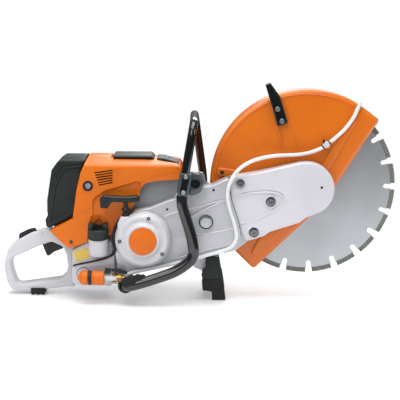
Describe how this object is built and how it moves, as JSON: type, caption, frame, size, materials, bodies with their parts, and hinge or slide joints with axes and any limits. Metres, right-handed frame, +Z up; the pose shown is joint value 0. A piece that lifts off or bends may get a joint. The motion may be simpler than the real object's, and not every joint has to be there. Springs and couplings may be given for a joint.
{
  "type": "rescue saw",
  "caption": "Hand-held petrol cut-off saw with a diamond wheel on a belt-driven arm, swivelling guard, wrap-round front handle and water kit.",
  "frame": {"origin": "middle of the saw's footprint, on the surface it stands on", "axes": "+X from the rear handle towards the cutting wheel, +Z up, -Y the side with the starter and the belt covers"},
  "size_m": [0.8734, 0.2822, 0.4795],
  "materials": {
    "orange_shroud": "moulded orange polyamide, satin",
    "orange_enamel": "orange enamel on pressed sheet steel",
    "orange_fitting": "orange moulded hose coupling",
    "white_plastic": "light grey moulded polyamide",
    "light_cover": "light grey lacquer on die cast magnesium",
    "dark_plastic": "dark grey moulded polyamide, fine texture",
    "black_plastic": "black moulded polyamide",
    "blue_button": "blue moulded button",
    "black_tube": "gloss black coated steel tube",
    "black_steel": "black coated steel",
    "black_rubber": "moulded rubber",
    "engine_alloy": "die cast",
    "machined_steel": "turned and ground",
    "wheel_steel": "ground steel core with sintered diamond segments",
    "muffler_sheet": "heat-stained sheet",
    "filter_paper": "pleated filter paper",
    "hose_plastic": "milky soft hose",
    "brass_fitting": "turned brass",
    "rope": "braided cord"
  },
  "bodies": {
    "frame": {"shroud": "orange_shroud", "water_coupling": "orange_fitting", "tank_housing": "white_plastic", "rear_handle_right": "white_plastic", "rear_handle_left": "white_plastic", "starter_cover": "white_plastic", "front_belt_cover": "light_cover", "rear_belt_cover": "light_cover", "filter_cover": "dark_plastic", "fan_cover": "dark_plastic", "handle_bracket": "dark_plastic", "plug_cover": "black_plastic", "spark_plug": "black_plastic", "front_handle": "black_tube", "rear_foot": "black_rubber", "front_foot": "black_rubber", "av_mount": "black_rubber", "drive_belt": "black_rubber", "crankcase_right": "engine_alloy", "crankcase_left": "engine_alloy", "cylinder": "engine_alloy", "carburettor": "engine_alloy", "cast_arm": "engine_alloy", "spindle_bearing": "machined_steel", "muffler": "muffler_sheet", "air_filter": "filter_paper", "water_hose": "hose_plastic", "guard_hose_span": "hose_plastic", "tap_body": "brass_fitting", "starter_rope": "rope"},
    "wheel": {"cutting_wheel": "wheel_steel", "inner_flange": "machined_steel", "outer_flange": "machined_steel", "wheel_bolt": "machined_steel", "spindle": "machined_steel", "driven_pulley": "engine_alloy"},
    "clutch_drum": {"clutch_drum": "machined_steel"},
    "crankshaft": {"crank_half_right": "machined_steel", "crank_half_left": "machined_steel", "flywheel_fan": "engine_alloy", "clutch_hub": "machined_steel"},
    "upper_shoe": {"clutch_shoe_upper": "machined_steel"},
    "lower_shoe": {"clutch_shoe_lower": "machined_steel"},
    "piston": {"piston": "engine_alloy", "gudgeon_pin": "machined_steel", "connecting_rod": "machined_steel", "crankpin": "machined_steel"},
    "guard": {"wheel_guard": "orange_enamel", "guard_lever": "black_steel", "guard_hose": "hose_plastic"},
    "starter_grip": {"starter_grip": "black_plastic"},
    "rope_drum": {"starter_rotor": "black_plastic"},
    "trigger": {"throttle_trigger": "black_plastic"},
    "lockout": {"throttle_lockout": "black_plastic"},
    "stop_switch": {"stop_switch": "black_plastic"},
    "choke_lever": {"choke_lever": "black_plastic"},
    "decompression_button": {"decompression_button": "blue_button"},
    "fuel_cap": {"fuel_cap": "dark_plastic"},
    "tap_lever": {"tap_lever": "black_plastic"},
    "tensioner_nut": {"tensioner_nut": "machined_steel"}
  },
  "joints": [
    {"name": "wheel_spin", "type": "hinge", "parent": "frame", "child": "wheel", "pos_m": [0.2367, 0.00141, 0.252], "axis": [0, 1, 0], "continuous": true},
    {"name": "drum_spin", "type": "hinge", "parent": "frame", "child": "clutch_drum", "pos_m": [-0.1213, 0.00141, 0.141], "axis": [0, 1, 0], "continuous": true},
    {"name": "crank_spin", "type": "hinge", "parent": "frame", "child": "crankshaft", "pos_m": [-0.1213, 0.00141, 0.141], "axis": [0, 1, 0], "continuous": true},
    {"name": "upper_shoe_slide", "type": "slide", "parent": "crankshaft", "child": "upper_shoe", "axis": [0, 0, 1], "range_m": [0, 0.0012], "stiffness_N_per_m": 1500},
    {"name": "lower_shoe_slide", "type": "slide", "parent": "crankshaft", "child": "lower_shoe", "axis": [0, 0, -1], "range_m": [0, 0.0012], "stiffness_N_per_m": 1500},
    {"name": "piston_slide", "type": "slide", "parent": "frame", "child": "piston", "axis": [0, 0, 1], "range_m": [0, 0.04]},
    {"name": "guard_pivot", "type": "hinge", "parent": "frame", "child": "guard", "pos_m": [0.2367, 0.00141, 0.252], "axis": [0, 1, 0], "range_deg": [-30, 25], "deforming": ["guard_hose_span"]},
    {"name": "grip_pull", "type": "slide", "parent": "frame", "child": "starter_grip", "axis": [0, 0, 1], "range_m": [0, 0.85], "stiffness_N_per_m": 12, "deforming": ["starter_rope"]},
    {"name": "rope_drum_spin", "type": "hinge", "parent": "frame", "child": "rope_drum", "pos_m": [-0.1213, 0.00141, 0.141], "axis": [0, 1, 0], "range_deg": [0, 1290]},
    {"name": "throttle", "type": "hinge", "parent": "frame", "child": "trigger", "pos_m": [-0.3113, 0.00141, 0.11], "axis": [0, 1, 0], "range_deg": [0, 14], "stiffness_Nm_per_rad": 1},
    {"name": "lockout_press", "type": "hinge", "parent": "frame", "child": "lockout", "pos_m": [-0.3993, 0.00141, 0.124], "axis": [0, 1, 0], "range_deg": [0, 8], "stiffness_Nm_per_rad": 1},
    {"name": "stop_press", "type": "slide", "parent": "frame", "child": "stop_switch", "axis": [0, 1, 0], "range_m": [0, 0.002], "stiffness_N_per_m": 400},
    {"name": "choke_turn", "type": "hinge", "parent": "frame", "child": "choke_lever", "pos_m": [-0.2253, 0.08641, 0.196], "axis": [0, 1, 0], "range_deg": [0, 70]},
    {"name": "decompression_press", "type": "slide", "parent": "frame", "child": "decompression_button", "axis": [0, 0, -1], "range_m": [0, 0.003], "stiffness_N_per_m": 600},
    {"name": "fuel_cap_turn", "type": "hinge", "parent": "frame", "child": "fuel_cap", "pos_m": [-0.2193, -0.09459, 0.152], "axis": [0, -0.2079, 0.9781], "range_deg": [0, 90]},
    {"name": "tap_turn", "type": "hinge", "parent": "frame", "child": "tap_lever", "pos_m": [-0.1833, -0.11059, 0.073], "axis": [0, 0, -1], "range_deg": [0, 90]},
    {"name": "tensioner_turn", "type": "hinge", "parent": "frame", "child": "tensioner_nut", "pos_m": [0.0147, -0.09559, 0.18], "axis": [0, -1, 0], "range_deg": [0, 90]}
  ],
  "couplings": [
    {"joint": "drum_spin", "follows": "wheel_spin", "ratio": 2.087},
    {"joint": "lower_shoe_slide", "follows": "upper_shoe_slide", "ratio": 1},
    {"joint": "rope_drum_spin", "follows": "grip_pull", "rad_per_m": 26.316}
  ]
}
